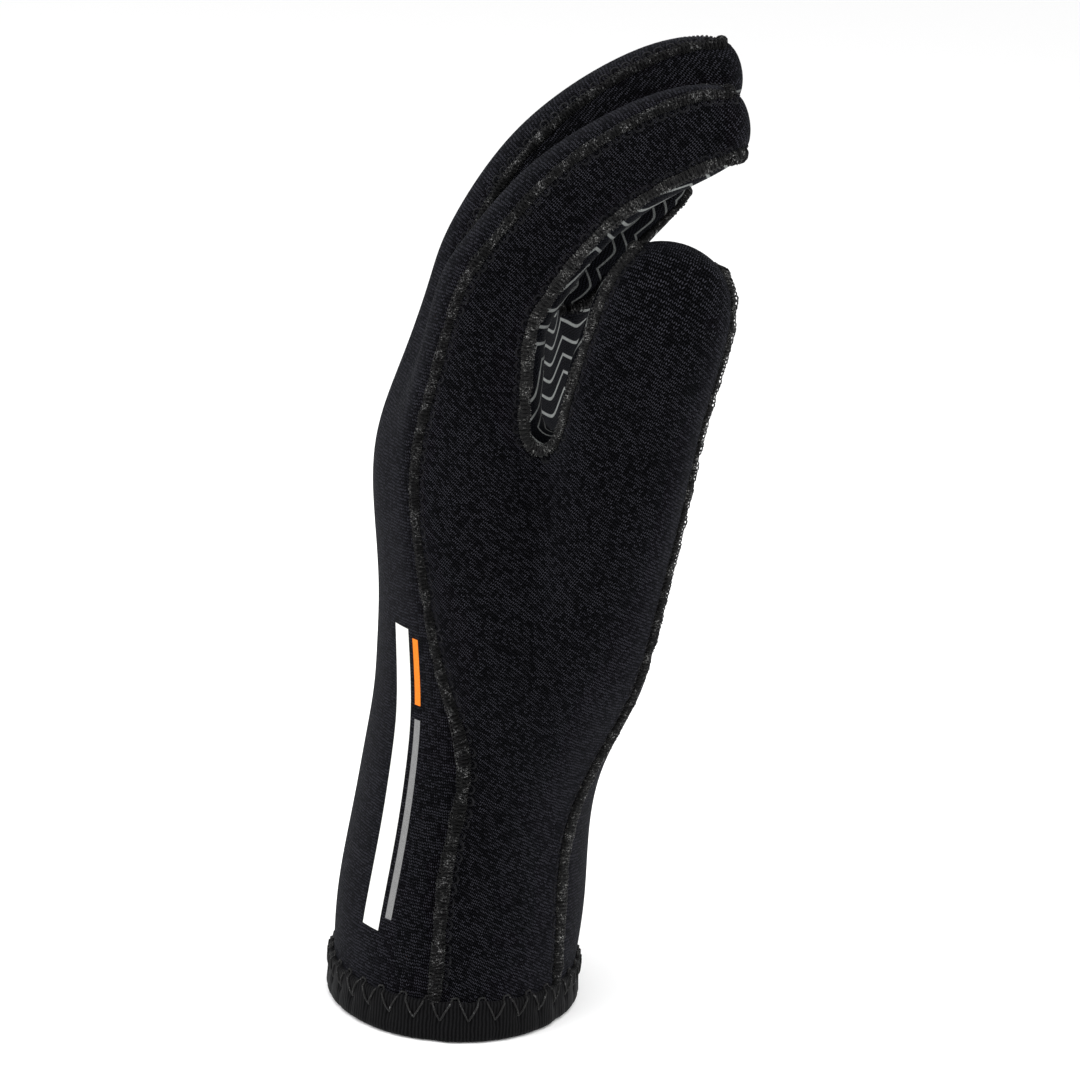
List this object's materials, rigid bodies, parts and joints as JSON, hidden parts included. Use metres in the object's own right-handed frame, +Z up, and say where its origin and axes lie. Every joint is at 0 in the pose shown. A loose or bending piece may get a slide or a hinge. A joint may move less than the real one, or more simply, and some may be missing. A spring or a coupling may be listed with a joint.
{
  "type": "preformed neoprene diving glove",
  "caption": "Black neoprene diving glove for a left hand, upright on its cuff, with curved fingers, raised overlock seams, grey wavy grip print on the palm side and a bound cuff.",
  "frame": {"origin": "on the floor under the middle of the glove's own box, at the level of the cuff binding's flat lower rim", "axes": "+Z up from the cuff to the fingers, +X towards the palm side, to which the fingers and the thumb curve, -Y towards the thumb side"},
  "size_m": [0.095, 0.0966, 0.2511],
  "materials": {
    "neoprene": "black jersey knit laminated on neoprene foam, matt with a soft blue-grey sheen",
    "printed_neoprene": "black knit on neoprene foam with thin grey wavy grip lines printed on it",
    "binding_tape": "charcoal ribbed binding tape, matt"
  },
  "bodies": {
    "root": {"back_cuff": "neoprene", "back_hand": "neoprene", "back_index": "neoprene", "back_middle": "neoprene", "back_ring": "neoprene", "back_little": "neoprene", "side_cuff": "neoprene", "side_hand": "neoprene", "side_thumb": "neoprene", "side_index": "neoprene", "palm_cuff": "printed_neoprene", "palm_hand": "printed_neoprene", "palm_thumb": "printed_neoprene", "palm_index": "printed_neoprene", "palm_middle": "printed_neoprene", "palm_ring": "printed_neoprene", "palm_little": "printed_neoprene", "fourchette_index_middle": "printed_neoprene", "fourchette_middle_ring": "printed_neoprene", "fourchette_ring_little": "printed_neoprene", "cuff_binding": "binding_tape"}
  },
  "joints": []
}
